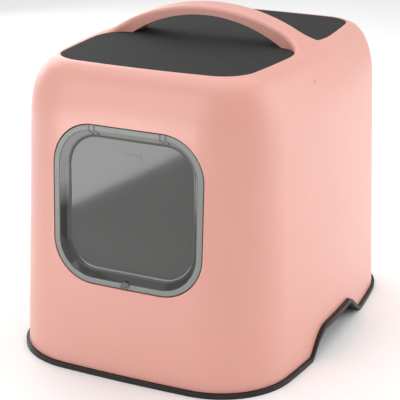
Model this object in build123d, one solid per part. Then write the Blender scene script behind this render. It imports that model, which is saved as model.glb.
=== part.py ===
from build123d import *
import math
import os

# Hooded cat litter box: tray, one-piece hood with an arched carrying handle, swinging
# entry flap with a turn lock, and a top cover that holds a carbon filter over a grille.
# Millimetres. Origin on the floor under the middle of the tray; the entry faces -Y.

# ---------------------------------------------------------------- driving dimensions
FLANGE_WIDTH = 390.0      # tray foot flange, the widest part of the box
FLANGE_LENGTH = 503.0
LEDGE = 4.3               # how far the flange stands out past the hood
FLANGE_HEIGHT = 6.0
HOOD_GAP = 0.5            # hood edge above the flange
CORNER_RADIUS = 96.0      # plan corners at the hood's foot
FRONT_BOW = 2.34          # half angle of the bowed front and rear, degrees
SIDE_BOW = 6.97           # half angle of the bowed long sides, degrees
DRAFT = 2.44              # walls lean in by this, degrees
HOOD_WALL = 2.8
HOOD_TOP = 384.7
SHOULDER_IN = 37.6        # shoulder curve, measured in from the wall
SHOULDER_DOWN = 70.9      # shoulder curve, measured down from the top

GRIP_FRONT = -98.0        # grip recess in the foot of both long sides
GRIP_REAR = 88.0
GRIP_RISE = 31.0

TRAY_RIM = 108.0
TRAY_WALL = 2.5
TRAY_CLEARANCE = 0.6      # tray skirt inside the hood wall
PAN_FLOOR = 3.0
PAN_RIM_INSET = 16.0
PAN_FLOOR_INSET = 40.0

OPENING_WIDTH = 202.0     # entry opening in the front wall
OPENING_HEIGHT = 201.2
OPENING_BOTTOM = 119.0
OPENING_RADIUS = 55.0
SILL_DEPTH = 13.0
SILL_WALL = 2.6

FLAP_GAP = 1.3
FLAP_LIP = 6.6            # flat lip round the flap
FLAP_RECESS = 0.8         # lip face behind the hood face
FLAP_WALL = 2.2
LIP_ROUND = 1.4           # rounding from the lip into the dish, half of it at the outer edge
DISH_DEPTH = 13.5         # panel face behind the lip face
DISH_SLOPE = 7.5          # sideways run of the dish wall
DISH_ROUND = 6.0          # inside rounding where the dish wall meets the panel
LABEL_PAD = (26.0, 6.0)   # plain raised pad on the panel

HINGE_X = 47.2            # hinges left and right of the middle
PIN_DEPTH = 3.2           # pin axis behind the hood face
PIN_DROP = 7.2            # pin axis below the top of the opening
PIN_RADIUS = 1.0
BARREL_RADIUS = 1.8       # hinge barrel behind the flap's lip
PIN_LENGTH = 9.2
SLIT_INNER = 2.6          # slits each side of the hinge tongue
SLIT_OUTER = 4.8
ARM_THICKNESS = 1.6
ARM_FRONT = 1.3           # the arms fill the slits almost to the lip face
BRACKET_NEAR = 10.5       # bracket plate and screw boss, behind the hood face
BRACKET_FAR = 13.0
BOSS_RISE = 20.0          # screw boss above the pin axis

LOCK_RAISE = 5.0          # lock axis above the flap's lower edge
KNOB_RADIUS = 4.6
WING_REACH = 7.0
WING_TILT = 30.0          # the thumb wing rises to the right when the lock is open
TAIL_RADIUS = 2.2
TAIL_SQUARE = 2.8
CAM_LENGTH = 8.6
CAM_THICKNESS = 2.4

COVER_WIDTH = 274.5
COVER_LENGTH = 394.0
COVER_RADIUS = 42.0
COVER_GAP = 1.0
COVER_PLATE = 2.6
COVER_RECESS = 0.4        # cover face below the hood face
COVER_FLANGE = 9.0        # hidden flange under the hood, past the cover's edge

STRAP_HALF = 19.5         # handle strap, half width
STRAP_TOP = 428.0
STRAP_TOP_RADIUS = 250.0
STRAP_UNDER = 416.3
STRAP_UNDER_RADIUS = 190.0
FOOT_START = 106.0        # handle foot: begins, flares to FOOT_HALF at FOOT_TIP
FOOT_TIP = 136.0
FOOT_HALF = 62.0
ARCH_END = 105.0          # the arch's arc ends here and the foot runs out onto the shoulder
FOOT_SINK = 0.7           # the foot's end goes this far under the shoulder's surface
FOOT_LANDING = 0.5        # where the foot meets the shoulder curve, as a share of its length

FILTER_SIZE = (150.0, 110.0, 10.0)
BOX_WALL = 2.0
BOX_DEPTH = 13.0
GRILLE_PLATE = 2.2
ROD_RADIUS = 1.25
LUG_X = 53.5              # hinge lugs of the filter box
BARREL_X = 46.0           # hinge barrels of the grille

# ---------------------------------------------------------------- derived values
HOOD_WIDTH = FLANGE_WIDTH - 2 * LEDGE
HOOD_LENGTH = FLANGE_LENGTH - 2 * LEDGE
FOOT_Z = FLANGE_HEIGHT + HOOD_GAP
LEAN = math.tan(math.radians(DRAFT))
PULL = 0.5523             # Bezier handle length that makes a quarter ellipse
OPENING_MIDDLE = OPENING_BOTTOM + OPENING_HEIGHT / 2
HALF_OPENING = OPENING_HEIGHT / 2
PIN_Z = HALF_OPENING - PIN_DROP
BOSS_Z = PIN_Z + BOSS_RISE
LIP_NEAR = FLAP_RECESS
LIP_FAR = FLAP_RECESS + FLAP_WALL
CAM_NEAR = LIP_FAR + 4.4
CAM_FAR = CAM_NEAR + CAM_THICKNESS
LOCK_Z = -HALF_OPENING + FLAP_GAP + LOCK_RAISE
GRILLE_Z = HOOD_TOP - COVER_RECESS - COVER_PLATE - BOX_DEPTH
ROD_Y = FILTER_SIZE[1] / 2 + 9.0
ROD_Z = GRILLE_Z - 1.8


class BowedRectangle:
    """Rounded rectangle whose four sides bow outwards; every arc is tangent to the next."""

    def __init__(self, width, length, corner, front_bow, side_bow):
        self.width, self.length, self.corner = width, length, corner
        self.front_bow, self.side_bow = front_bow, side_bow
        fb, sb = math.radians(front_bow), math.radians(side_bow)
        a, b = 1 - math.cos(sb), math.sin(fb)
        c, d = math.sin(sb), 1 - math.cos(fb)
        u, v = width / 2 - corner, length / 2 - corner
        side = (u * d - b * v) / (a * d - b * c)
        front = (a * v - c * u) / (a * d - b * c)
        self.side_radius = side + corner
        self.front_radius = front + corner
        self.corner_x = front * math.sin(fb)
        self.corner_y = side * math.sin(sb)

    def arcs(self):
        """Centre, radius, start angle and size of the eight arcs, and the radius inside each sector."""
        side_x = self.width / 2 - self.side_radius
        front_y = self.length / 2 - self.front_radius
        corner_size = 90 - self.front_bow - self.side_bow
        for turn in (0, 180):
            sign = 1 if turn == 0 else -1
            inner = self.side_radius - self.corner
            yield (sign * side_x, 0), self.side_radius, turn - self.side_bow, 2 * self.side_bow, inner
            inner = self.front_radius - self.corner
            start = turn + 90 - self.front_bow
            yield (0, sign * front_y), self.front_radius, start, 2 * self.front_bow, inner
            centre = (sign * self.corner_x, sign * self.corner_y)
            yield centre, self.corner, turn + self.side_bow, corner_size, 0
            centre = (-sign * self.corner_x, sign * self.corner_y)
            yield centre, self.corner, turn + 90 + self.front_bow, corner_size, 0

    def face(self, inset=0.0, z=0.0):
        edges = [
            CenterArc(centre, radius - inset, start, size)
            for centre, radius, start, size, _ in self.arcs()
        ]
        return Pos(0, 0, z) * Face(Wire(edges))

    def prism(self, inset, low, high):
        return extrude(self.face(inset, low), amount=high - low, dir=(0, 0, 1))


HOOD_PLAN = BowedRectangle(HOOD_WIDTH, HOOD_LENGTH, CORNER_RADIUS, FRONT_BOW, SIDE_BOW)
COVER_PLAN = BowedRectangle(COVER_WIDTH, COVER_LENGTH, COVER_RADIUS, 4.0, 7.0)


def wall_inset(z):
    """How far the leaning wall stands inside the hood's foot outline at a height."""
    return (z - FOOT_Z) * LEAN


def leaning_block(inset, low, high):
    """Solid inside the leaning wall, between two heights."""
    bottom = HOOD_PLAN.face(inset + wall_inset(low), low)
    top = HOOD_PLAN.face(inset + wall_inset(high), high)
    return loft([bottom, top], ruled=True)


def hood_form(offset, low):
    """The hood's outer form moved inwards by an offset: leaning walls, shoulders, flat top."""
    wall_top = HOOD_TOP - SHOULDER_DOWN
    roof = HOOD_TOP - offset
    inset_low = offset + wall_inset(low)
    inset_wall = offset + wall_inset(wall_top)
    inset_roof = inset_wall + SHOULDER_IN - offset
    form = HOOD_PLAN.prism(CORNER_RADIUS - 20, low, roof)
    for (cx, cy), radius, start, size, inner in HOOD_PLAN.arcs():
        foot = (radius - inset_low, low)
        wall = (radius - inset_wall, wall_top)
        wall_pull = PULL * (roof - wall_top)
        above = (wall[0] - wall_pull * LEAN, wall_top + wall_pull)
        beside = (radius - inset_roof + PULL * (SHOULDER_IN - offset), roof)
        outline = [
            Line((inner, low), foot),
            Line(foot, wall),
            Bezier(wall, above, beside, (radius - inset_roof, roof)),
            Line((radius - inset_roof, roof), (inner, roof)),
            Line((inner, roof), (inner, low)),
        ]
        section = Plane.XZ * make_face(Wire(outline).edges())
        sector = revolve(section, Axis.Z, revolution_arc=size)
        sector = Rot(0, 0, start) * sector
        form += Pos(cx, cy, 0) * sector
    return form


def grip_line(lift):
    """Lower edge of the long sides seen from the side: two S curves up into the grip recess."""
    far = FLANGE_LENGTH
    high = GRIP_RISE + lift
    front, rear = GRIP_FRONT + 50, GRIP_REAR - 54
    return [
        Line((-far, lift), (GRIP_FRONT, lift)),
        Bezier((GRIP_FRONT, lift), (GRIP_FRONT + 12, lift + 5), (GRIP_FRONT + 20, high), (front, high)),
        Line((front, high), (rear, high)),
        Bezier((rear, high), (rear + 10, high), (GRIP_REAR - 26, lift + 10), (GRIP_REAR, lift)),
        Line((GRIP_REAR, lift), (far, lift)),
    ]


def below_grip_line(lift):
    """Everything lower than the grip line, as one block across the box."""
    far = FLANGE_LENGTH
    floor = -40
    edges = grip_line(lift) + [
        Line((far, lift), (far, floor)),
        Line((far, floor), (-far, floor)),
        Line((-far, floor), (-far, lift)),
    ]
    side_view = Plane.YZ * make_face(Wire(edges).edges())
    return extrude(side_view, amount=FLANGE_WIDTH, both=True)


# ---------------------------------------------------------------- front wall frame
# Parts of the entry are drawn with X across, Z up the leaning wall and Y into the box,
# from the outer face of the front wall at the middle of the opening.
FRONT_FACE_Y = -HOOD_LENGTH / 2 + wall_inset(OPENING_MIDDLE)
FRONT = Pos(0, FRONT_FACE_Y, OPENING_MIDDLE) * Rot(-DRAFT, 0, 0)


def bowed_layer(near, far):
    """Layer behind the bowed front face, between two depths."""
    radius = HOOD_PLAN.front_radius
    reach = 6.0
    centre = (0, radius)
    outer, inner = radius - near, radius - far
    edges = []
    for ring in (outer, inner):
        edges.append(CenterArc(centre, ring, 270 - reach, 2 * reach))
    for turn in (270 - reach, 270 + reach):
        heading = math.radians(turn)
        ends = [
            (ring * math.cos(heading), radius + ring * math.sin(heading))
            for ring in (outer, inner)
        ]
        edges.append(Line(*ends))
    return extrude(make_face(Wire(edges).edges()), amount=OPENING_HEIGHT, both=True)


def opening_outline(inset, depth):
    """Outline of the opening pulled in, standing at a depth behind the front face."""
    shape = RectangleRounded(
        OPENING_WIDTH - 2 * inset, OPENING_HEIGHT - 2 * inset, OPENING_RADIUS - inset
    )
    return Pos(0, depth, 0) * (Plane.XZ * shape)


def opening_block(inset, near, far):
    """Straight block of the opening's outline between two depths."""
    return loft([opening_outline(inset, near), opening_outline(inset, far)], ruled=True)


def x_cylinder(radius, length, x, y, z):
    return Pos(x, y, z) * Rot(0, 90, 0) * Cylinder(radius, length)


def y_cylinder(radius, near, far, x, z):
    middle = (near + far) / 2
    return Pos(x, middle, z) * Rot(90, 0, 0) * Cylinder(radius, far - near)


def block(x0, x1, y0, y1, z0, z1):
    centre = ((x0 + x1) / 2, (y0 + y1) / 2, (z0 + z1) / 2)
    return Pos(*centre) * Box(x1 - x0, y1 - y0, z1 - z0)


# ---------------------------------------------------------------- tray
def make_tray():
    skirt_inset = HOOD_WALL + TRAY_CLEARANCE
    skirt = leaning_block(skirt_inset, 0, TRAY_RIM)
    rim_edges = skirt.edges().filter_by(lambda e: e.bounding_box().min.Z > TRAY_RIM - 1)
    skirt = fillet(rim_edges, 4.0)
    skirt -= leaning_block(skirt_inset + TRAY_WALL, -1, TRAY_RIM - TRAY_WALL)
    skirt -= below_grip_line(0)

    pan_height = TRAY_RIM - TRAY_WALL / 2
    pan_outer = loft(
        [
            HOOD_PLAN.face(PAN_FLOOR_INSET - TRAY_WALL, 0),
            HOOD_PLAN.face(PAN_RIM_INSET - TRAY_WALL, pan_height),
        ],
        ruled=True,
    )
    pan_slope = (PAN_FLOOR_INSET - PAN_RIM_INSET) / (TRAY_RIM - PAN_FLOOR)
    pan_inner = loft(
        [
            HOOD_PLAN.face(PAN_FLOOR_INSET, PAN_FLOOR),
            HOOD_PLAN.face(PAN_RIM_INSET - pan_slope, TRAY_RIM + 1),
        ],
        ruled=True,
    )
    floor_edges = pan_inner.edges().filter_by(lambda e: e.bounding_box().max.Z < PAN_FLOOR + 1)
    pan_inner = fillet(floor_edges, 14.0)

    flange = HOOD_PLAN.prism(-LEDGE, -1, GRIP_RISE + FLANGE_HEIGHT + 1)
    flange -= HOOD_PLAN.prism(skirt_inset + TRAY_WALL, -2, GRIP_RISE + FLANGE_HEIGHT + 2)
    flange &= below_grip_line(FLANGE_HEIGHT)
    flange -= below_grip_line(0)
    return skirt + flange + pan_outer - pan_inner


# ---------------------------------------------------------------- hood
def strap_profile(top, top_radius, under, under_radius, half_length):
    """Side view of an arch between two curves, in the XZ plane."""
    top_end = top - top_radius + math.sqrt(top_radius ** 2 - half_length ** 2)
    under_end = under - under_radius + math.sqrt(under_radius ** 2 - half_length ** 2)
    edges = [
        ThreePointArc((-half_length, top_end), (0, top), (half_length, top_end)),
        Line((half_length, top_end), (half_length, under_end)),
        ThreePointArc((half_length, under_end), (0, under), (-half_length, under_end)),
        Line((-half_length, under_end), (-half_length, top_end)),
    ]
    return Plane.XZ * make_face(Wire(edges).edges())


def handle_side_view():
    """Arch seen from the front: an arc on top that runs out onto both shoulders."""
    shoulder_z = arch_height(ARCH_END)
    slope = (shoulder_z - arch_height(ARCH_END + 0.01)) / 0.01
    under_x = FOOT_START
    under_z = STRAP_UNDER - STRAP_UNDER_RADIUS + math.sqrt(STRAP_UNDER_RADIUS ** 2 - under_x ** 2)
    deep = HOOD_TOP - 30
    (end_x, end_z), (aim_x, aim_z) = shoulder_point(FOOT_LANDING)
    edges = [ThreePointArc((-ARCH_END, shoulder_z), (0, STRAP_TOP), (ARCH_END, shoulder_z))]
    for side in (1, -1):
        edges += [
            Bezier(
                (side * ARCH_END, shoulder_z),
                (side * (ARCH_END + 14), shoulder_z - 14 * slope),
                (side * (end_x + 15 * aim_x), end_z + 15 * aim_z),
                (side * end_x, end_z),
            ),
            Line((side * end_x, end_z), (side * end_x, deep)),
            Line((side * end_x, deep), (side * under_x, deep)),
            Line((side * under_x, deep), (side * under_x, under_z)),
        ]
    edges.append(ThreePointArc((-under_x, under_z), (0, STRAP_UNDER), (under_x, under_z)))
    return Plane.XZ * make_face(Wire(edges).edges())


def arch_height(x):
    """Top of the handle's arch at a distance from the middle."""
    return STRAP_TOP - STRAP_TOP_RADIUS + math.sqrt(STRAP_TOP_RADIUS ** 2 - x ** 2)


def shoulder_point(along):
    """Point just under the middle section of the side shoulder, and the direction up the shoulder."""
    wall_z = HOOD_TOP - SHOULDER_DOWN
    wall_x = HOOD_WIDTH / 2 - wall_inset(wall_z)
    roof_x = wall_x - SHOULDER_IN
    curve = Bezier(
        (wall_x, wall_z),
        (wall_x - PULL * SHOULDER_DOWN * LEAN, wall_z + PULL * SHOULDER_DOWN),
        (roof_x + PULL * SHOULDER_IN, HOOD_TOP),
        (roof_x, HOOD_TOP),
    )
    point, heading = curve @ along, curve % along
    sunk = (point.X - FOOT_SINK * heading.Y, point.Y + FOOT_SINK * heading.X)
    return sunk, (heading.X, heading.Y)


def foot_plan(reach, grow=0.0):
    """Handle seen from above, grown all round: a strap whose feet flare out in smooth curves."""
    half, flare = STRAP_HALF + grow, FOOT_HALF + grow
    start, tip = FOOT_START - grow, FOOT_TIP - grow
    edges = []
    for sx in (1, -1):
        for sy in (1, -1):
            bend = ((sx * start, sy * half), (sx * (start + 18), sy * half))
            rise = ((sx * tip, sy * (flare - 24)), (sx * tip, sy * flare))
            edges += [
                Line((0, sy * half), bend[0]),
                Bezier(*bend, *rise),
                Line(rise[1], (sx * reach, sy * flare)),
            ]
        edges.append(Line((sx * reach, -flare), (sx * reach, flare)))
    return make_face(Wire(edges).edges())


def make_handle():
    arch = extrude(handle_side_view(), amount=80, both=True)
    plan = extrude(Pos(0, 0, HOOD_TOP - 60) * foot_plan(170), amount=140)
    handle = arch & plan
    top_edges = handle.edges().filter_by(
        lambda e: e.center().Z > HOOD_TOP - 2 and abs(e.center().Y) > STRAP_HALF - 1
    )
    top_edges = [e for e in top_edges if e.center().Z > arch_height(abs(e.center().X)) - 1.5]
    handle = fillet(top_edges, 5.0)
    channel = extrude(
        strap_profile(STRAP_TOP - 3, STRAP_TOP_RADIUS - 3, STRAP_UNDER - 20, STRAP_UNDER_RADIUS, 88),
        amount=STRAP_HALF - 3,
        both=True,
    )
    return handle - channel


def cover_prism(offset):
    """Cover outline grown by an offset, as a tall block."""
    low, high = HOOD_TOP - 60, HOOD_TOP + 10
    return COVER_PLAN.prism(-offset, low, high)


def feet_prism(grow):
    """The two notches that the handle's feet leave in the cover."""
    low, high = HOOD_TOP - 60, HOOD_TOP + 10
    start = FOOT_START - grow
    feet = extrude(Pos(0, 0, low) * foot_plan(200, grow), amount=high - low)
    return feet - block(-start, start, -90, 90, low - 1, high + 1)


def make_sill():
    """Collar behind the lower half of the opening, with a slot that takes the lock cam."""
    collar = opening_block(-SILL_WALL, -5, SILL_DEPTH + 5) - opening_block(0, -6, SILL_DEPTH + 6)
    collar &= bowed_layer(0.8, SILL_DEPTH)
    collar &= block(-150, 150, -10, 40, -150, -HALF_OPENING + OPENING_RADIUS + 20)
    slot_z = -HALF_OPENING
    collar -= block(-9, 9, CAM_NEAR - 0.6, CAM_FAR + 0.6, slot_z - 6, slot_z + 2)
    return FRONT * collar


def make_bosses():
    """Screw bosses behind the front wall, one above each hinge."""
    bosses = []
    for side in (-1, 1):
        boss = y_cylinder(4.0, 3.5, BRACKET_NEAR, side * HINGE_X, BOSS_Z)
        bosses.append(FRONT * boss)
    return bosses


def make_boss_bores():
    return [
        FRONT * y_cylinder(1.2, 5.8, BRACKET_NEAR + 1, side * HINGE_X, BOSS_Z)
        for side in (-1, 1)
    ]


def make_hood():
    shell = hood_form(0, FOOT_Z - 3)
    cavity = hood_form(HOOD_WALL, FOOT_Z - 20)
    handle = make_handle() - cavity
    shell -= cavity
    shell -= below_grip_line(FOOT_Z)
    shell -= cover_prism(COVER_GAP) - feet_prism(0)
    shell -= FRONT * opening_block(0, -20, 20)
    shell += handle
    shell += make_sill()
    for boss in make_bosses():
        shell += boss
    for bore in make_boss_bores():
        shell -= bore
    return shell


# ---------------------------------------------------------------- top cover and filter
def make_top_cover():
    low = HOOD_TOP - 90
    face = hood_form(COVER_RECESS, low)
    under = hood_form(COVER_RECESS + COVER_PLATE, low - 5)
    flange_top = hood_form(HOOD_WALL + 0.3, low)
    flange_under = hood_form(HOOD_WALL + 2.7, low - 5)
    outline = cover_prism(0) - feet_prism(COVER_GAP)
    inside = COVER_PLAN.prism(4, HOOD_TOP - 60, HOOD_TOP + 10) - feet_prism(COVER_GAP + 4)
    plate = (face - under) & outline
    edge_wall = (face - flange_under) & (outline - inside)
    flange = (flange_top - flange_under) & (cover_prism(COVER_FLANGE) - inside)
    return plate + edge_wall + flange + make_filter_box()


def make_filter_box():
    """Four ribs under the cover that hold the filter, with air notches and hinge lugs."""
    top = HOOD_TOP - COVER_RECESS - 1.0
    x, y = FILTER_SIZE[0] / 2 + 1, FILTER_SIZE[1] / 2 + 1
    box = block(-x - BOX_WALL, x + BOX_WALL, -y - BOX_WALL, y + BOX_WALL, GRILLE_Z, top)
    box -= block(-x, x, -y, y, GRILLE_Z - 1, HOOD_TOP)
    for notch_x in (-48, 0, 48):
        box -= block(notch_x - 14, notch_x + 14, -80, 80, GRILLE_Z + 4, GRILLE_Z + 9)
    for side in (-1, 1):
        lug = block(side * LUG_X - 2, side * LUG_X + 2, y + BOX_WALL - 0.1, ROD_Y + 4, ROD_Z - 3.5, top)
        lug -= x_cylinder(ROD_RADIUS + 0.02, 10, side * LUG_X, ROD_Y, ROD_Z)
        box += lug
    return box


def make_grille():
    """Slotted plate that closes the filter box, on two barrels round the hinge rod."""
    x, y = FILTER_SIZE[0] / 2 + 3, FILTER_SIZE[1] / 2 + 1.5
    top = GRILLE_Z - 0.7
    plate = block(-x, x, -y, y, top - GRILLE_PLATE, top)
    plate = fillet(plate.edges().filter_by(Axis.Z), 5)
    for row in range(9):
        slot_y = -44 + 11 * row
        for slot_x in (-37, 37):
            plate -= block(slot_x - 32, slot_x + 32, slot_y - 3, slot_y + 3, top - 5, top + 1)
    for side in (-1, 1):
        barrel = x_cylinder(3.2, 10, side * BARREL_X, ROD_Y, ROD_Z)
        barrel += block(
            side * BARREL_X - 5, side * BARREL_X + 5, y - 3, ROD_Y, top - GRILLE_PLATE, top
        )
        barrel -= x_cylinder(ROD_RADIUS + 0.06, 12, side * BARREL_X, ROD_Y, ROD_Z)
        plate += barrel
    rib_face = -FILTER_SIZE[1] / 2 - 1 - BOX_WALL
    plate += block(-12, 12, rib_face - 2.4, -y + 1, top - GRILLE_PLATE, top)
    plate += block(-12, 12, rib_face - 2.4, rib_face - 0.4, top - GRILLE_PLATE, top + 6)
    return plate


def make_rod():
    return x_cylinder(ROD_RADIUS, 2 * LUG_X + 8, 0, ROD_Y, ROD_Z)


def make_filter():
    x, y, thickness = FILTER_SIZE
    pad = block(-x / 2, x / 2, -y / 2, y / 2, GRILLE_Z + 0.5, GRILLE_Z + 0.5 + thickness)
    return fillet(pad.edges(), 2.5)


# ---------------------------------------------------------------- flap
def dish_plug(inset, depth, round_off):
    """Tapered plug of the flap's dish, flat at the back, with a rounded rear edge."""
    front = -10.0
    spread = DISH_SLOPE / DISH_DEPTH
    mouth = opening_outline(inset - spread * (LIP_NEAR - front), front)
    back = opening_outline(inset + spread * (depth - LIP_NEAR), depth)
    plug = loft([mouth, back], ruled=True)
    rear_edges = plug.edges().filter_by(lambda e: e.bounding_box().min.Y > depth - 0.1)
    return fillet(rear_edges, round_off)


def make_flap():
    """Smoky flap: flat lip, dished panel, and a slit tongue at each hinge."""
    rim = FLAP_GAP + FLAP_LIP
    panel = LIP_NEAR + DISH_DEPTH
    flap = opening_block(FLAP_GAP, -10, 20) & bowed_layer(LIP_NEAR, LIP_FAR)
    flap += dish_plug(rim - FLAP_WALL, panel + FLAP_WALL, DISH_ROUND + FLAP_WALL) & bowed_layer(LIP_NEAR, 60)
    for side in (-1, 1):
        flap += x_cylinder(BARREL_RADIUS, 2 * SLIT_INNER, side * HINGE_X, PIN_DEPTH, PIN_Z)
    flap -= dish_plug(rim, panel, DISH_ROUND)
    lip = flap.faces().filter_by(lambda f: f.bounding_box().max.Y < LIP_FAR + 0.5).sort_by(SortBy.AREA)[-1]
    inner_rim, outer_rim = lip.inner_wires()[0].edges(), lip.outer_wire().edges()
    flap = fillet(inner_rim, LIP_ROUND)
    outer_rim = [flap.edges().sort_by_distance(edge.center())[0] for edge in outer_rim]
    flap = fillet(outer_rim, LIP_ROUND / 2)
    flap += y_cylinder(LOCK_RAISE - 0.2, LIP_NEAR + 0.2, CAM_NEAR - 0.3, 0, LOCK_Z)
    flap += make_label_pad()
    for side in (-1, 1):
        flap = cut_hinge(flap, side * HINGE_X)
    flap -= y_cylinder(TAIL_RADIUS + 0.06, -5, 20, 0, LOCK_Z)
    return flap


def make_label_pad():
    width, height = LABEL_PAD
    face = LIP_NEAR + DISH_DEPTH
    return block(-width / 2, width / 2, face - 0.5, face + 0.5, 60, 60 + height)


def cut_hinge(flap, x):
    """Two slits beside the hinge barrel, and the pin's bore."""
    low = PIN_Z - 8.5
    for inner, outer in ((SLIT_INNER, SLIT_OUTER), (-SLIT_OUTER, -SLIT_INNER)):
        flap -= block(x + inner, x + outer, -5, 14.8, low, HALF_OPENING)
    flap -= x_cylinder(PIN_RADIUS + 0.06, 2 * SLIT_INNER + 1, x, PIN_DEPTH, PIN_Z)
    return flap


def make_pin(side):
    return x_cylinder(PIN_RADIUS, PIN_LENGTH, side * HINGE_X, PIN_DEPTH, PIN_Z)


def make_bracket(side):
    """Screwed plate with two thin arms that reach through the slits to hold the pin."""
    x = side * HINGE_X
    foot_z, top_z = PIN_Z + 10.5, BOSS_Z + 6.0
    bracket = block(x - 9, x + 9, BRACKET_NEAR + 0.05, BRACKET_FAR, foot_z, top_z)
    bracket = fillet(bracket.edges().filter_by(Axis.Y), 2)
    bracket -= y_cylinder(1.7, 0, 20, x, BOSS_Z)
    side_view = [
        (ARM_FRONT, PIN_Z - 1.9),
        (PIN_DEPTH + 1.9, PIN_Z - 1.9),
        (PIN_DEPTH + 2.6, PIN_Z + 2.0),
        (BRACKET_FAR, foot_z + 0.5),
        (BRACKET_FAR, foot_z + 4.0),
        (PIN_DEPTH + 2.6, foot_z + 4.0),
        (PIN_DEPTH + 1.2, PIN_Z + 7.0),
        (ARM_FRONT, PIN_Z + 5.4),
    ]
    middle = (SLIT_INNER + SLIT_OUTER) / 2
    for arm in (-1, 1):
        outline = Plane.YZ * make_face(Polyline(*side_view, close=True).edges())
        plate = extrude(outline, amount=ARM_THICKNESS / 2, both=True)
        bracket += Pos(x + arm * middle, 0, 0) * plate
    bracket -= x_cylinder(PIN_RADIUS + 0.02, 20, x, PIN_DEPTH, PIN_Z)
    return bracket


def make_screw(side):
    """Pan-head tapping screw that holds a bracket to its boss."""
    x = side * HINGE_X
    head = y_cylinder(3.0, BRACKET_FAR + 0.05, BRACKET_FAR + 2.0, x, BOSS_Z)
    shank = y_cylinder(1.15, 6.4, BRACKET_FAR + 0.5, x, BOSS_Z)
    screw = head + shank
    for turn in (0, 90):
        cross = Pos(x, BRACKET_FAR + 1.6, BOSS_Z) * Rot(0, turn, 0) * Box(3.2, 1.4, 0.7)
        screw -= cross
    return screw


def make_lock_knob():
    """Turn knob with a thumb bar; its square tail carries the cam."""
    near, far = LIP_NEAR - 1.6, LIP_NEAR - 0.1
    knob = y_cylinder(KNOB_RADIUS, near, far, 0, LOCK_Z)
    wing = Pos(0, near, 0) * (Plane.XZ * SlotOverall(2 * WING_REACH, 3.4))
    wing = extrude(wing, amount=1.5, both=True)
    knob += Pos(0, 0, LOCK_Z) * Rot(0, -WING_TILT, 0) * wing
    face = knob.edges().filter_by(lambda e: e.bounding_box().max.Y < near - 1.4)
    knob = fillet(face, 0.7)
    knob += y_cylinder(TAIL_RADIUS, far - 0.5, CAM_NEAR - 0.1, 0, LOCK_Z)
    half = TAIL_SQUARE / 2
    knob += block(-half, half, CAM_NEAR - 0.5, CAM_FAR, LOCK_Z - half, LOCK_Z + half)
    return knob


def make_lock_cam():
    """Flat tongue on the knob's tail: sideways when open, down into the sill when locked."""
    cam = block(0, CAM_LENGTH, CAM_NEAR, CAM_FAR, LOCK_Z - 2.0, LOCK_Z + 2.0)
    cam = fillet(cam.edges().filter_by(Axis.Y).sort_by(Axis.X)[-2:], 1.2)
    cam += y_cylinder(2.7, CAM_NEAR, CAM_FAR, 0, LOCK_Z)
    half = TAIL_SQUARE / 2 + 0.02
    return cam - block(-half, half, 0, 20, LOCK_Z - half, LOCK_Z + half)


# ---------------------------------------------------------------- write the parts
def main():
    nodes = {
        "tray": make_tray(),
        "hood": make_hood(),
        "top_cover": make_top_cover(),
        "filter_grille": make_grille(),
        "grille_hinge_rod": make_rod(),
        "carbon_filter": make_filter(),
        "flap": FRONT * make_flap(),
        "lock_knob": FRONT * make_lock_knob(),
        "lock_cam": FRONT * make_lock_cam(),
    }
    for name, side in (("left", -1), ("right", 1)):
        nodes["flap_pin_" + name] = FRONT * make_pin(side)
        nodes["hinge_bracket_" + name] = FRONT * make_bracket(side)
        nodes["bracket_screw_" + name] = FRONT * make_screw(side)
    os.makedirs("parts", exist_ok=True)
    for name, shape in nodes.items():
        export_step(shape, "parts/" + name + ".step")


main()
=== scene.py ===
import math

import bmesh
import bpy
from mathutils import Matrix, Vector, noise


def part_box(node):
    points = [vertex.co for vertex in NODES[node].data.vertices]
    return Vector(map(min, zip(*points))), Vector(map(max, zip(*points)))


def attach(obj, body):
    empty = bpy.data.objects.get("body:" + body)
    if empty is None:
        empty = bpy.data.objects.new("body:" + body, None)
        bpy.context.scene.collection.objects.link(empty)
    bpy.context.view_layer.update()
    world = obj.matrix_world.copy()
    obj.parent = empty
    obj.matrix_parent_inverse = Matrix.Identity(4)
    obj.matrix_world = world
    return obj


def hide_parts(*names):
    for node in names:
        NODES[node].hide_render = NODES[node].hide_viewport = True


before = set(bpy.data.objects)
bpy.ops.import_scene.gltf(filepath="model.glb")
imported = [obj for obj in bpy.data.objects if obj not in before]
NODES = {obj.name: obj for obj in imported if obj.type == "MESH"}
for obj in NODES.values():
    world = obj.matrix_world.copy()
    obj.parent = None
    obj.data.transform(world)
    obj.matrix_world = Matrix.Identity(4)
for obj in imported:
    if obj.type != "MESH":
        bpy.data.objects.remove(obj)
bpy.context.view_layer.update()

# ---------------------------------------------------------------- places, from the frame, in metres
FLAP_LOW, FLAP_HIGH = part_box("flap")
FLAP_CENTRE = (FLAP_LOW + FLAP_HIGH) / 2
FILTER_LOW, FILTER_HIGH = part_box("carbon_filter")
FILTER_CENTRE = (FILTER_LOW + FILTER_HIGH) / 2
LIP_WIDTH = 0.0066        # flat lip round the flap's dish
LIP_CORNER = 0.047        # corner radius of the dish's mouth

# ---------------------------------------------------------------- filter pad, in metres
PAD_CUTS = (59, 43, 5)    # grid lines across the pad's width, length and thickness
PAD_RIM = 0.009           # how far in the rounding of the rim reaches
PAD_THIN = 0.42           # share of the thickness lost at the very edge
PAD_LOFT = 0.0007         # uneven loft of the faces
PAD_RAGGED = 0.0006       # unevenness of the cut edge

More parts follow.
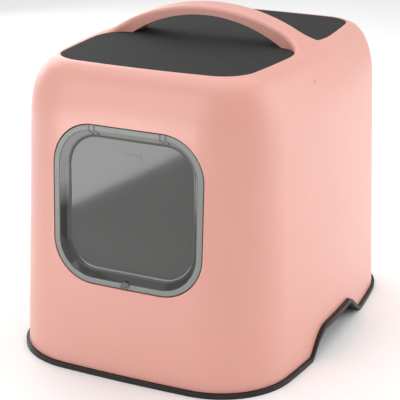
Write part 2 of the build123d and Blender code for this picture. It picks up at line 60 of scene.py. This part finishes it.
# ---------------------------------------------------------------- camera and lights, in metres and watts
CAMERA_TURN = math.radians(25.38)
CAMERA_RISE = math.radians(19.216)
CAMERA_ROLL = math.radians(0.296)
CAMERA_DISTANCE = 1.7824
CAMERA_TARGET = Vector((-0.0151, 0.0, 0.1571))
CAMERA_LENS = 117.76      # millimetres, on a 36 mm sensor
SENSOR_WIDTH = 36.0
SKY_STRENGTH = 0.56
FLOOR_HALF = 6.0
SOFTBOXES = {             # name: place, what it points at, size, power
    "top": ((0.0, 0.4, 3.4), (0, 0.4, 0.0), (4.2, 4.2), 62),
    "right_softbox": ((1.5, 0.75, 0.75), (0, 0.1, 0.15), (1.6, 1.4), 11),
    "left_softbox": ((-1.5, 0.9, 0.9), (0, 0.1, 0.25), (1.4, 1.4), 13),
    "front_softbox": ((-1.0, -2.3, 1.5), (0, 0, 0.2), (1.6, 1.2), 14),
}
CARD_PLACE = (-0.412, -0.84, 0.179)
CARD_AIM = (-0.412, 0.0, 0.179)
CARD_SIZE = (0.6, 0.25)
CARD_POWER = 2.2
CARD_SLOPE = math.radians(29.7)

# ---------------------------------------------------------------- colours, linear RGB
PINK = (0.79, 0.36, 0.295)
COVER_BLACK = (0.023, 0.023, 0.023)
TRAY_BLACK = (0.020, 0.0165, 0.0165)
SMOKE = (0.074, 0.075, 0.072)
# painted highlight colour for the upper half of the flap dish's walls
SMOKE_PAINTED_HIGHLIGHT = (0.46, 0.465, 0.455)
FROSTED_SMOKE = (0.24, 0.255, 0.243)
KNOB_GREY = (0.13, 0.135, 0.13)
BRACKET_GREY = (0.10, 0.10, 0.10)
FELT_BLACK = (0.018, 0.018, 0.019)
STEEL = (0.55, 0.55, 0.56)
FLOOR_PALE = (0.97, 0.97, 0.97)
WHITE = (1.0, 1.0, 1.0)


# ---------------------------------------------------------------- material helpers
class Surface:
    """A Principled material with short calls for the nodes that every surface here uses."""

    def __init__(self, name, colour, roughness):
        self.material = bpy.data.materials.new(name)
        self.material.use_nodes = True
        self.tree = self.material.node_tree
        self.shader = self.tree.nodes["Principled BSDF"]
        self.shader.inputs["Base Color"].default_value = (*colour, 1)
        self.shader.inputs["Roughness"].default_value = roughness
        coordinates = self.tree.nodes.new("ShaderNodeTexCoord")
        self.place = coordinates.outputs["Object"]
        self.facing = coordinates.outputs["Normal"]
        self.height = None

    def node(self, kind, **values):
        made = self.tree.nodes.new(kind)
        for key, value in values.items():
            setattr(made, key, value)
        return made

    def fix(self, socket, value):
        """Sets a value that is the same all over the surface."""
        self.shader.inputs[socket].default_value = value

    def join(self, source, target):
        self.tree.links.new(source, target)

    def noise(self, scale, detail=3.0, rough=0.5, stretch=None):
        """Fractal noise over the object; scale is in cells per metre."""
        made = self.node("ShaderNodeTexNoise")
        made.inputs["Scale"].default_value = scale
        made.inputs["Detail"].default_value = detail
        made.inputs["Roughness"].default_value = rough
        place = self.place
        if stretch is not None:
            mapping = self.node("ShaderNodeMapping")
            mapping.inputs["Scale"].default_value = stretch
            self.join(self.place, mapping.inputs["Vector"])
            place = mapping.outputs["Vector"]
        self.join(place, made.inputs["Vector"])
        return made.outputs["Fac"]

    def cells(self, scale, feature="F1"):
        """Rounded cells over the object; scale is in cells per metre."""
        made = self.node("ShaderNodeTexVoronoi", feature=feature)
        made.inputs["Scale"].default_value = scale
        self.join(self.place, made.inputs["Vector"])
        return made.outputs["Distance"]

    def ramp(self, source, low, high, value_low, value_high):
        """Maps source from low..high to value_low..value_high, clamped."""
        made = self.node("ShaderNodeMapRange")
        made.inputs["From Min"].default_value = low
        made.inputs["From Max"].default_value = high
        made.inputs["To Min"].default_value = value_low
        made.inputs["To Max"].default_value = value_high
        self.join(source, made.inputs["Value"])
        return made.outputs["Result"]

    def part_of(self, vector, axis):
        made = self.node("ShaderNodeSeparateXYZ")
        self.join(vector, made.inputs["Vector"])
        return made.outputs[axis]

    def times(self, first, second):
        made = self.node("ShaderNodeMath", operation="MULTIPLY")
        self.join(first, made.inputs[0])
        self.join(second, made.inputs[1])
        return made.outputs["Value"]

    def mix_colours(self, source, colour_low, colour_high):
        mix = self.node("ShaderNodeMix", data_type="RGBA")
        mix.inputs["A"].default_value = (*colour_low, 1)
        mix.inputs["B"].default_value = (*colour_high, 1)
        self.join(source, mix.inputs["Factor"])
        self.join(mix.outputs["Result"], self.shader.inputs["Base Color"])

    def vary_colour(self, source, colour, dark, light):
        """Lets the colour wander between two multiples of itself."""
        self.mix_colours(source, scaled(colour, dark), scaled(colour, light))

    def vary_roughness(self, source, smooth, rough, window=(0.3, 0.7)):
        """Lets the roughness wander; the window is the part of the source's range that is used."""
        self.join(self.ramp(source, *window, smooth, rough), self.shader.inputs["Roughness"])

    def bump(self, source, depth, strength=1.0):
        """Adds relief; depth is the real height of the relief in metres."""
        made = self.node("ShaderNodeBump")
        made.inputs["Distance"].default_value = depth
        made.inputs["Strength"].default_value = strength
        self.join(source, made.inputs["Height"])
        if self.height is not None:
            self.join(self.height, made.inputs["Normal"])
        self.height = made.outputs["Normal"]
        self.join(self.height, self.shader.inputs["Normal"])


def scaled(colour, factor):
    return tuple(channel * factor for channel in colour)


def hood_plastic():
    """Satin polypropylene: an even colour with a fine spark-eroded grain and faint handling marks."""
    s = Surface("hood_plastic", PINK, 0.5)
    s.fix("Coat Weight", 0.85)
    s.fix("Coat Roughness", 0.36)
    s.fix("Subsurface Weight", 0.06)
    s.fix("Subsurface Radius", (0.006, 0.003, 0.002))
    s.fix("Subsurface Scale", 1.0)
    s.vary_colour(s.noise(9, 4), PINK, 0.985, 1.015)
    s.vary_roughness(s.noise(26, 5, 0.65), 0.44, 0.54, (0.35, 0.68))
    s.bump(s.noise(2600, 2), 0.00003, 0.55)
    s.bump(s.noise(7, 2), 0.0006, 0.12)
    return s.material


def cover_plastic():
    """Dark plastic with a coarse leather-like grain moulded in."""
    s = Surface("cover_plastic", COVER_BLACK, 0.75)
    s.fix("Specular IOR Level", 0.2)
    s.vary_colour(s.noise(420, 3), COVER_BLACK, 0.85, 1.25)
    s.vary_roughness(s.noise(60, 4), 0.73, 0.77)
    s.bump(s.cells(900, "SMOOTH_F1"), 0.00016, 0.7)
    s.bump(s.noise(2200, 2), 0.00005, 0.5)
    return s.material


def tray_plastic():
    """Dark satin plastic, a little scuffed."""
    s = Surface("tray_plastic", TRAY_BLACK, 0.5)
    s.fix("Specular IOR Level", 0.3)
    s.vary_colour(s.noise(30, 5, 0.6), TRAY_BLACK, 0.9, 1.15)
    s.vary_roughness(s.noise(90, 5, 0.7), 0.36, 0.55, (0.35, 0.7))
    s.bump(s.noise(2400, 2), 0.00003, 0.5)
    return s.material


def smoky_plastic():
    """Polished smoke-grey styrene, with a painted highlight: the dish's steep walls are painted lighter
    in their upper half, standing in for a reflection.
    """
    s = Surface("smoky_plastic", SMOKE, 0.08)
    s.fix("IOR", 1.55)
    s.fix("Alpha", 0.94)
    middle = FLAP_CENTRE.z
    # painted highlight: where the surface faces sideways (the dish's walls) and lies above the middle,
    # the colour blends from the smoke grey to a light grey
    wall = s.ramp(s.part_of(s.facing, "Y"), -0.97, -0.6, 0, 1)
    upper = s.ramp(s.part_of(s.place, "Z"), middle - 0.01, middle + 0.025, 0, 1)
    s.mix_colours(s.times(wall, upper), SMOKE, SMOKE_PAINTED_HIGHLIGHT)
    s.vary_roughness(s.noise(40, 5, 0.65), 0.065, 0.10, (0.35, 0.7))
    s.bump(s.noise(12, 2), 0.0004, 0.05)
    return s.material


def frosted_plastic():
    """The same plastic with a blasted face, on the flap's lip."""
    s = Surface("frosted_plastic", FROSTED_SMOKE, 0.4)
    s.vary_colour(s.noise(60, 4), FROSTED_SMOKE, 0.93, 1.07)
    s.vary_roughness(s.noise(200, 4), 0.34, 0.46)
    s.bump(s.noise(3200, 2), 0.00002, 0.6)
    return s.material


def fitting_plastic(name, colour):
    """Moulded grey plastic of the small fittings."""
    s = Surface(name, colour, 0.35)
    s.vary_roughness(s.noise(300, 4), 0.28, 0.42)
    s.bump(s.noise(3000, 2), 0.00002, 0.5)
    return s.material


def steel():
    s = Surface("steel", STEEL, 0.3)
    s.fix("Metallic", 1.0)
    s.vary_roughness(s.noise(900, 3, 0.6, (1, 12, 1)), 0.22, 0.4)
    s.bump(s.noise(1500, 2, 0.5, (1, 10, 1)), 0.00002, 0.4)
    return s.material


def filter_felt():
    """Needled felt with carbon dust: soft, fibrous and matt."""
    s = Surface("filter_felt", FELT_BLACK, 0.95)
    s.fix("Sheen Weight", 0.5)
    s.fix("Sheen Roughness", 0.5)
    s.vary_colour(s.noise(800, 6, 0.7), FELT_BLACK, 0.6, 2.2)
    s.vary_roughness(s.noise(500, 4), 0.85, 1.0)
    s.bump(s.noise(1400, 5, 0.7, (1, 1, 0.3)), 0.0005, 0.8)
    s.bump(s.cells(260), 0.0004, 0.4)
    return s.material


def floor_white():
    return Surface("floor_white", FLOOR_PALE, 0.7).material


def paint(names, material):
    for name in names:
        node = NODES[name]
        node.data.materials.clear()
        node.data.materials.append(material)


def frost_lip(flap, material):
    """Gives the flat lip round the dish its own finish."""
    flap.data.materials.append(material)
    centre = FLAP_CENTRE
    half_width = (FLAP_HIGH.x - FLAP_LOW.x) / 2 - LIP_WIDTH
    half_height = (FLAP_HIGH.z - FLAP_LOW.z) / 2 - LIP_WIDTH
    for polygon in flap.data.polygons:
        along = abs(polygon.center.x - centre.x) - half_width + LIP_CORNER
        upward = abs(polygon.center.z - centre.z) - half_height + LIP_CORNER
        outside = math.hypot(max(along, 0), max(upward, 0)) - LIP_CORNER
        if outside > 0:
            polygon.material_index = 1


def paint_all():
    paint(["hood"], hood_plastic())
    paint(["top_cover", "filter_grille"], cover_plastic())
    paint(["tray"], tray_plastic())
    paint(["flap"], smoky_plastic())
    frost_lip(NODES["flap"], frosted_plastic())
    paint(["lock_knob", "lock_cam"], fitting_plastic("knob_plastic", KNOB_GREY))
    brackets = ["hinge_bracket_left", "hinge_bracket_right"]
    paint(brackets, fitting_plastic("bracket_plastic", BRACKET_GREY))
    screws = ["bracket_screw_left", "bracket_screw_right"]
    paint(["flap_pin_left", "flap_pin_right", "grille_hinge_rod"] + screws, steel())


# ---------------------------------------------------------------- carbon filter pad
def grid_pad():
    """Closed block of the filter's size, divided into a grid on every side."""
    mesh = bmesh.new()
    bmesh.ops.create_cube(mesh, size=1.0)
    size = FILTER_HIGH - FILTER_LOW
    place = Matrix.Translation(FILTER_CENTRE) @ Matrix.Diagonal((*size, 1))
    bmesh.ops.transform(mesh, verts=mesh.verts, matrix=place)
    for axis, cuts in enumerate(PAD_CUTS):
        edges = [e for e in mesh.edges if abs(e.verts[0].co[axis] - e.verts[1].co[axis]) > size[axis] / 2]
        bmesh.ops.subdivide_edges(mesh, edges=edges, cuts=cuts, use_grid_fill=True)
    return mesh


def soften_pad(mesh):
    """Rounds the pad's rim and adds the uneven loft and ragged edge of cut felt."""
    centre = FILTER_CENTRE
    half = (FILTER_HIGH - FILTER_LOW) / 2
    for vertex in mesh.verts:
        across = half.x - abs(vertex.co.x - centre.x)
        along = half.y - abs(vertex.co.y - centre.y)
        edge = min(across, along)
        if edge < PAD_RIM:
            fall = 1 - math.sqrt(max(0.0, 1 - ((PAD_RIM - edge) / PAD_RIM) ** 2))
            vertex.co.z = centre.z + (vertex.co.z - centre.z) * (1 - PAD_THIN * fall)
        wave = noise.noise(Vector((vertex.co.x * 38, vertex.co.y * 38, vertex.co.z * 60)))
        vertex.co.z += (wave - 0.4) * PAD_LOFT * (1 if vertex.co.z > centre.z else -1)
        pull = PAD_RAGGED * (1 + noise.noise(vertex.co * 130))
        if across < PAD_RIM / 3:
            vertex.co.x -= math.copysign(pull, vertex.co.x - centre.x)
        if along < PAD_RIM / 3:
            vertex.co.y -= math.copysign(pull, vertex.co.y - centre.y)


def make_filter_pad():
    """Felt pad that stands for the filter's plain block and rides with the top cover."""
    mesh = grid_pad()
    soften_pad(mesh)
    data = bpy.data.meshes.new("filter_pad")
    mesh.to_mesh(data)
    mesh.free()
    for polygon in data.polygons:
        polygon.use_smooth = True
    pad = bpy.data.objects.new("filter_pad", data)
    bpy.context.scene.collection.objects.link(pad)
    pad.data.materials.append(filter_felt())
    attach(pad, "cover")
    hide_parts("carbon_filter")


# ---------------------------------------------------------------- studio
def make_camera():
    data = bpy.data.cameras.new("camera")
    data.sensor_width = SENSOR_WIDTH
    data.lens = CAMERA_LENS
    data.dof.use_dof = False
    camera = bpy.data.objects.new("camera", data)
    bpy.context.scene.collection.objects.link(camera)
    back = Vector(
        (
            math.sin(CAMERA_TURN) * math.cos(CAMERA_RISE),
            -math.cos(CAMERA_TURN) * math.cos(CAMERA_RISE),
            math.sin(CAMERA_RISE),
        )
    )
    level = Vector((math.cos(CAMERA_TURN), math.sin(CAMERA_TURN), 0.0))
    upward = back.cross(level)
    right = math.cos(CAMERA_ROLL) * level + math.sin(CAMERA_ROLL) * upward
    top = math.cos(CAMERA_ROLL) * upward - math.sin(CAMERA_ROLL) * level
    turn = Matrix((right, top, back)).transposed()
    camera.matrix_world = Matrix.Translation(CAMERA_TARGET + back * CAMERA_DISTANCE) @ turn.to_4x4()
    bpy.context.scene.camera = camera


def area_light(name, place, aim, size, power):
    data = bpy.data.lights.new(name, "AREA")
    data.shape = "RECTANGLE"
    data.size, data.size_y = size
    data.energy = power
    light = bpy.data.objects.new(name, data)
    bpy.context.scene.collection.objects.link(light)
    light.location = place
    light.rotation_euler = (Vector(aim) - Vector(place)).to_track_quat("-Z", "Y").to_euler()
    return light


def make_floor():
    mesh = bmesh.new()
    bmesh.ops.create_grid(mesh, x_segments=1, y_segments=1, size=FLOOR_HALF)
    data = bpy.data.meshes.new("floor")
    mesh.to_mesh(data)
    mesh.free()
    floor = bpy.data.objects.new("floor", data)
    bpy.context.scene.collection.objects.link(floor)
    floor.data.materials.append(floor_white())


def make_studio():
    world = bpy.data.worlds.new("studio")
    world.use_nodes = True
    background = world.node_tree.nodes["Background"]
    background.inputs["Color"].default_value = (*WHITE, 1)
    background.inputs["Strength"].default_value = SKY_STRENGTH
    bpy.context.scene.world = world
    bpy.context.scene.view_settings.view_transform = "Standard"
    make_floor()
    for name, settings in SOFTBOXES.items():
        area_light(name, *settings)
    make_flap_card()


def make_flap_card():
    """Small slanted card low on the left, whose reflection lies across the flap's upper corner."""
    card = area_light("flap_card", CARD_PLACE, CARD_AIM, CARD_SIZE, CARD_POWER)
    card.rotation_euler.rotate_axis("Z", CARD_SLOPE)
    card.visible_camera = False
    card.visible_diffuse = False


paint_all()
make_filter_pad()
make_studio()
make_camera()
